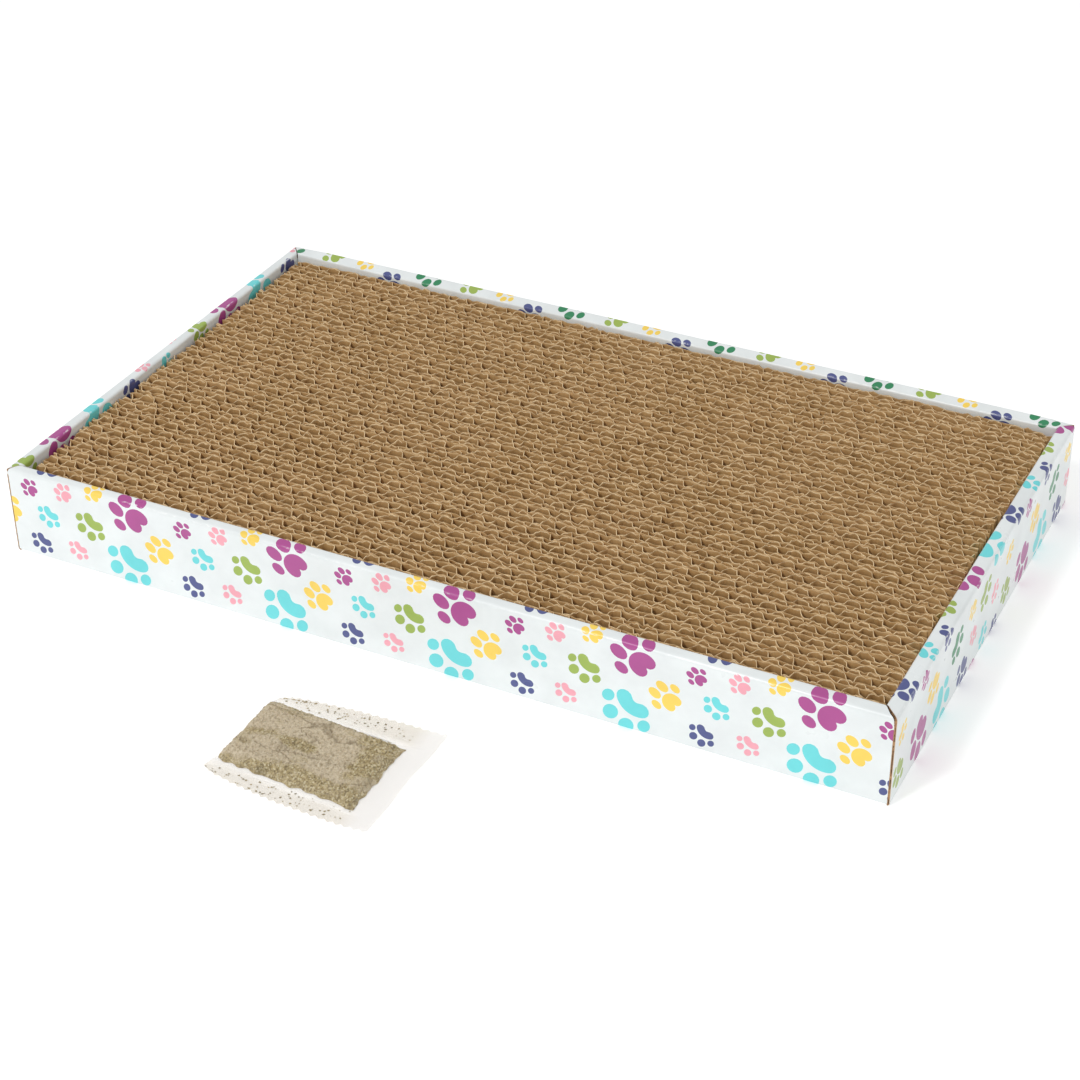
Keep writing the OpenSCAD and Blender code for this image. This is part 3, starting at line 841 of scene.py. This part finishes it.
# Height of the middle of each film where it lies empty
LOWER_Z, UPPER_Z = 0.08, 0.24
TOOTH_PITCH, TOOTH_DEPTH = 3.3, 1.0
TEETH = round(SACHET_L / TOOTH_PITCH)
FACES_PER_TOOTH, FACES_ACROSS = 4, 52
# Half the films' width at shares of their length
FILM_WIDTHS = ([0, 0.06, 0.2, 0.45, 0.75, 1], [22.0, 23.6, 25.4, 27.3, 28.1, 28.2])
# The filled end is bent: the share of the length that this takes, and for each bend the shares of the width
# where it starts and where it is greatest, how far it goes in, or out where below 0, and by which power
END_SHARE = 0.12
END_BENDS = [(0.86, 1, 2.2, 2), (0.22, 0, -1.9, 1), (0.05, 0, 1.6, 2)]
BED_LEFT, BED_RIGHT = -31.6, 21.9
BED_HALF = 17.2
# Where the middle of the bed's left end lies across the sachet, and how far to the front of it the right end's
BED_START_Y, BED_SKEW = 1.2, 3.4
# The bed's full height, the share of it that it has on the whole, and the share by which it is lumpy
BED_H = 4.2
BED_FILL, BED_LUMPS = 0.9, 0.08
# How far past the bed's outline it lifts the film, and the lengths over which it rises from its sides, its
# left end and its right end
BED_MARGIN = 2.2
SIDE_RISE, LEFT_RISE, RIGHT_RISE = 6.5, 5.5, 6
# Past the bed: the length over which the films start to lift, the height and width of their ridge, their lift
# beside it and how much this wavers
EMPTY_RISE = 10
RIDGE_H, RIDGE_W = 1.3, 11
EMPTY_LIFT, EMPTY_WAVER = 0.5, 0.35
# Wrinkles of the upper film: their height, how much higher they are past the bed, the share of the length
# that counts in them, and the half width at which they end and over which length
WRINKLE_H, EMPTY_WRINKLE_H = 0.16, 0.25
WRINKLE_STRETCH = 0.35
WRINKLE_END, WRINKLE_FADE = 28, 6
# The bed's faces along and across, and the crumbs on it and in the seals
LEAF_FACES = (150, 100)
BED_CRUMBS, SEAL_CRUMBS = 620, 140
# Room between the leaf and the film, its grain, and the least height of its top
LEAF_ROOM, LEAF_GRAIN, LEAF_LEAST = 0.38, 0.22, 0.3
CHIP_SHAPE = [1, 0.62, 0.2]
# What pressing makes of a crumb in a seal, and the sizes of crumbs on the bed and in the seals
PRESSED_SHAPE = [1, 1.2, 0.25]
BED_SIZES, SEAL_SIZES = (0.4, 1.3), (0.4, 1.1)
# Crumbs lie in the seals between these shares of the length, from this far off the bed to this half width,
# and this far inside the film's edge
SEAL_SHARES = (0.03, 0.84)
OFF_BED, SEAL_END, INSIDE_EDGE = 2.5, 25.5, 1.5
# How far crumbs on the bed stay inside its outline
INSIDE_BED = 0.5
# How far the middle of a crumb lies below the film, in a seal and on the bed, and its least height
SEAL_DEPTH, BED_DEPTH, CRUMB_LEAST = 0.03, 0.16, 0.17

crumple = slow_noise(21, (6, 22))
ruffle = slow_noise(22, (14, 40))
ragged = slow_noise(23, (2.5, 9))
grit = slow_noise(24, (0.9, 2.4), count=24)


def bed_middle(x):
    """Middle of the bed across the sachet, which lies a little askew in it."""
    return BED_START_Y - BED_SKEW * (x - BED_LEFT) / (BED_RIGHT - BED_LEFT)


def swell(x, y):
    """Height by which the leaf lifts the film, which starts a margin outside the bed's outline."""
    side = BED_HALF - np.abs(y - bed_middle(x)) + BED_MARGIN
    rise = (eased(side, 0, SIDE_RISE) * eased(x - BED_LEFT + BED_MARGIN, 0, LEFT_RISE)
            * eased(BED_RIGHT - x + BED_MARGIN, 0, RIGHT_RISE))
    lumps = np.tanh(crumple(np.stack([x * 0.6, y, x * 0], 1)))
    return BED_H * rise * (BED_FILL + BED_LUMPS * lumps)


def film_net(share, across):
    """Places points of the flat film by their shares of its length and width, with the teeth of its long
    edges."""
    half = np.interp(share, *FILM_WIDTHS)
    tooth = np.abs((share * TEETH) % 1 - 0.5) * 2
    on_edge = np.abs(across - 0.5) > 0.4999
    y = (2 * across - 1) * (half - np.where(on_edge, TOOTH_DEPTH * tooth, 0))
    x = (share - 0.5) * SACHET_L
    filled_end = np.clip(1 - share / END_SHARE, 0, 1)
    for start, end, depth, power in END_BENDS:
        x += filled_end * depth * np.clip((across - start) / (end - start), 0, 1) ** power
    return x, y


def make_film(name, node, is_upper, grid, faces):
    """One film of the sachet."""
    x, y = film_net(grid[:, 0], grid[:, 1])
    past = np.clip((x - BED_RIGHT) / EMPTY_RISE, 0, 1)
    waver = EMPTY_WAVER * ruffle(np.stack([x * 0, y, y * 0], 1))
    lift = past ** 2 * (RIDGE_H * np.exp(-(y / RIDGE_W) ** 2) + EMPTY_LIFT + waver)
    z = np.where(is_upper, UPPER_Z, LOWER_Z) + np.maximum(lift, 0)
    if is_upper:
        flat = np.stack([x * WRINKLE_STRETCH, y, x * 0], 1)
        fade = np.clip((WRINKLE_END - np.abs(y)) / WRINKLE_FADE, 0, 1)
        z += swell(x, y) + WRINKLE_H * fade * (1 + np.tanh(crumple(flat)))
        z += EMPTY_WRINKLE_H * past * (1 + np.tanh(crumple(flat + 50)))
    points = np.stack([x + SACHET_X, y + SACHET_Y, z + FILM_T / 2 * grid[:, 2]], 1)
    # Where the film has painted glints in a band beside the bed, lies over the bed, and is dusty in the seals.
    # Each of these fades within a few millimetres.
    side = np.abs(y - bed_middle(x)) - BED_HALF
    drawn = np.exp(-((side - BED_MARGIN) / 1.7) ** 2) * np.clip((BED_RIGHT + 4 - x) / 6, 0, 1) * is_upper
    over_bed = np.clip(-side / 1.5, 0, 1) * np.clip((BED_RIGHT - x) / 1.5, 0, 1)
    dusty = np.clip((side - 0.5) / 2, 0, 1) * np.clip((BED_RIGHT + 5 - x) / 6, 0, 1)
    piece = mesh_piece(name, points, faces, [FILM], drawn=drawn, over_bed=over_bed, dusty=dusty)
    smooth(piece, degrees=60)
    place_on(piece, "sachet", node)


def leaf_chip():
    """One crumb of dried leaf: a flattened, uneven pebble of a few faces, about 1 across."""
    bpy.ops.object.select_all(action="DESELECT")
    bpy.ops.mesh.primitive_ico_sphere_add(subdivisions=1, radius=0.5)
    chip = bpy.context.active_object
    points = np.array([v.co[:] for v in chip.data.vertices]) * CHIP_SHAPE
    faces = [list(f.vertices) for f in chip.data.polygons]
    bpy.data.objects.remove(chip)
    return points * (1 + 0.25 * grit(points * 3 + 7))[:, None], faces


def bed_crumb(draw):
    """Place and size of a crumb on the bed."""
    x = draw.uniform(BED_LEFT + INSIDE_BED, BED_RIGHT - INSIDE_BED)
    y = draw.uniform(-1, 1) * (BED_HALF - INSIDE_BED) + bed_middle(x)
    return np.array([x, y]), draw.uniform(*BED_SIZES)


def seal_crumb(draw):
    """Place and size of a crumb caught in a seal, clear of the teeth."""
    share, side = draw.uniform(*SEAL_SHARES), draw.choice([-1, 1])
    half = np.interp(share, *FILM_WIDTHS) - INSIDE_EDGE
    y = np.clip(side * draw.uniform(BED_HALF + OFF_BED, SEAL_END), -half, half)
    return np.array([(share - 0.5) * SACHET_L, y]), draw.uniform(*SEAL_SIZES)


def bed_of_leaf():
    """The bed as one pressed mass: its points and faces."""
    grid, faces = thin_grid(*LEAF_FACES)
    x = BED_LEFT + grid[:, 0] * (BED_RIGHT - BED_LEFT)
    across = 2 * grid[:, 1] - 1
    rim = np.stack([x, across * BED_HALF, x * 0], 1)
    # Its outline is ragged: the powers keep this to its edge
    y = bed_middle(x) + across * (BED_HALF + 0.3 * ragged(rim) * np.abs(across) ** 4)
    x = x + 0.35 * ragged(rim + 90) * (np.abs(2 * grid[:, 0] - 1) ** 12)
    top = UPPER_Z - FILM_T + swell(x, y) + LEAF_GRAIN * grit(np.stack([x, y, x * 0], 1)) - LEAF_ROOM
    z = np.where(grid[:, 2] > 0, np.maximum(top, LEAF_LEAST), LOWER_Z + FILM_T)
    return np.stack([x, y, z], 1), faces


def looseness(points):
    """How loose the leaf lies at each point: most in the seals, then along the front edge towards the right,
    in a patch left of the middle, at the right end and along the rear edge."""
    along = (points[:, 0] - BED_LEFT) / (BED_RIGHT - BED_LEFT)
    across = (points[:, 1] - bed_middle(points[:, 0])) / BED_HALF
    in_seals = np.clip((np.abs(across) - 1.04) / 0.02, 0, 1.4)
    front = np.clip((0.35 * along - across - 0.8) / 0.25, 0, 1)
    right = np.clip((along - 0.72) / 0.2, 0, 0.8)
    patch = np.exp(-((along - 0.36) / 0.25) ** 2 - ((across + 0.03) / 0.14) ** 2)
    rear = np.clip((across - 0.86) / 0.14, 0, 0.5)
    return np.maximum.reduce([in_seals, front, right, patch, rear])


def make_leaf():
    """The bed of dried leaf, with crumbs on it and a few caught in the seals."""
    bed, faces = bed_of_leaf()
    chip, chip_faces = leaf_chip()
    points, count = [bed], len(bed)
    draw = np.random.default_rng(77)
    for number in range(BED_CRUMBS + SEAL_CRUMBS):
        in_seal = number >= BED_CRUMBS
        place, size = seal_crumb(draw) if in_seal else bed_crumb(draw)
        a = draw.uniform(0, 2 * math.pi)
        spin = np.array([[math.cos(a), math.sin(a), 0], [-math.sin(a), math.cos(a), 0], [0, 0, 1]])
        width = draw.uniform(0.35, 1)
        crumb = chip * size * (PRESSED_SHAPE if in_seal else [1, width, 1]) @ spin
        level = swell(*place[:, None])[0] + UPPER_Z - FILM_T - (SEAL_DEPTH if in_seal else BED_DEPTH)
        points.append(crumb + [*place, max(level, CRUMB_LEAST)])
        faces += [[i + count for i in f] for f in chip_faces]
        count += len(crumb)
    points = np.concatenate(points)
    piece = mesh_piece("sachet_dried_leaf", points + [SACHET_X, SACHET_Y, 0], faces, [HERB],
                       loose=looseness(points))
    place_on(piece, "sachet", "sachet_herb")


def make_sachet():
    """Both films and the leaf between them."""
    grid, faces = thin_grid(FACES_PER_TOOTH * TEETH, FACES_ACROSS)
    make_film("sachet_lower_film", "sachet_film_lower", False, grid, faces)
    make_film("sachet_upper_film", "sachet_film_upper", True, grid, faces)
    make_leaf()


# Stage and camera, with lengths in metres

def area_light(name, place, target, size, power):
    """A soft box that points at a target."""
    data = bpy.data.lights.new(name, "AREA")
    data.shape = "DISK"
    data.size = size
    data.energy = power
    lamp = bpy.data.objects.new(name, data)
    lamp.location = place
    lamp.rotation_mode = "QUATERNION"
    lamp.rotation_quaternion = (Vector(target) - Vector(place)).to_track_quat("-Z", "Y")
    bpy.context.collection.objects.link(lamp)


def make_stage():
    """A plain white floor that glows a little, a white surround that is brighter above, and a soft box high
    up in front."""
    bpy.ops.object.select_all(action="DESELECT")
    bpy.ops.mesh.primitive_plane_add(size=12)
    floor = bpy.context.active_object
    floor.name = "studio_floor"
    material, tree, place = new_material("white_paper_sweep")
    clouds = speckle(tree, place, 700, 1)
    tone = add_node(tree, "Mix", {0: clouds, 6: linear("#FFFFFF"), 7: linear("#FBFBFB")}, data_type="RGBA")
    floor.data.materials.append(finished(material, {"Base Color": tone, "Roughness": 0.9,
                                                    "Emission Color": tone, "Emission Strength": 0.24}))
    world = bpy.data.worlds.new("studio_surround")
    world.use_nodes = True
    tree = world.node_tree
    direction = add_node(tree, "TexCoord").outputs["Generated"]
    up = add_node(tree, "SeparateXYZ", {"Vector": direction}).outputs["Z"]
    strength = add_node(tree, "MapRange", {"Value": up, "To Min": 0.50, "To Max": 0.80})
    tree.nodes["Background"].inputs["Color"].default_value = linear("#FFFFFF")
    tree.links.new(strength.outputs[0], tree.nodes["Background"].inputs["Strength"])
    bpy.context.scene.world = world
    area_light("key_softbox", place=(-0.45, -1.4, 1.6), target=(0, 0, 0), size=0.4, power=13)


# Camera of the photograph, from its fit to the tray's corners
CAMERA_AZIMUTH, CAMERA_ELEVATION, CAMERA_ROLL = 25.656, 33.873, 0.082
CAMERA_DISTANCE = 0.88402
CAMERA_TARGET = (0.02040, -0.01572, 0.0)
CAMERA_LENS = 78.925
CAMERA_SHIFT = (-0.037, 0.0185)


def make_camera():
    """The camera at the photograph's viewing angle."""
    a, e = math.radians(CAMERA_AZIMUTH), math.radians(CAMERA_ELEVATION)
    back = Vector((math.sin(a) * math.cos(e), -math.cos(a) * math.cos(e), math.sin(e)))
    data = bpy.data.cameras.new("camera")
    data.sensor_width = 36
    data.lens = CAMERA_LENS
    data.shift_x, data.shift_y = CAMERA_SHIFT
    camera = bpy.data.objects.new("camera", data)
    camera.rotation_mode = "QUATERNION"
    camera.location = Vector(CAMERA_TARGET) + back * CAMERA_DISTANCE
    roll = Quaternion((0, 0, 1), math.radians(CAMERA_ROLL))
    camera.rotation_quaternion = (-back).to_track_quat("-Z", "Y") @ roll
    bpy.context.collection.objects.link(camera)
    bpy.context.scene.camera = camera


PRINTED_WHITE = coated_board("varnished_white_board", "#EEF3F3")
INK_MATERIALS = {number: coated_board(name, code) for number, (name, code) in INKS.items()}
CUT_EDGE = cut_board()
LINER_BACK = kraft_liner()
FLUTES = kraft_flutes()
FILM = clear_film()
HERB = dried_herb()

make_camera()
make_stage()
make_base()
for name in ("front", "rear", "left", "right"):
    make_wall(name)
make_pad()
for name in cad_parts:
    if name.startswith("corner_flap_"):
        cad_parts[name].data.materials.clear()
        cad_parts[name].data.materials.append(LINER_BACK)
make_sachet()

bpy.context.scene.view_settings.view_transform = "Standard"
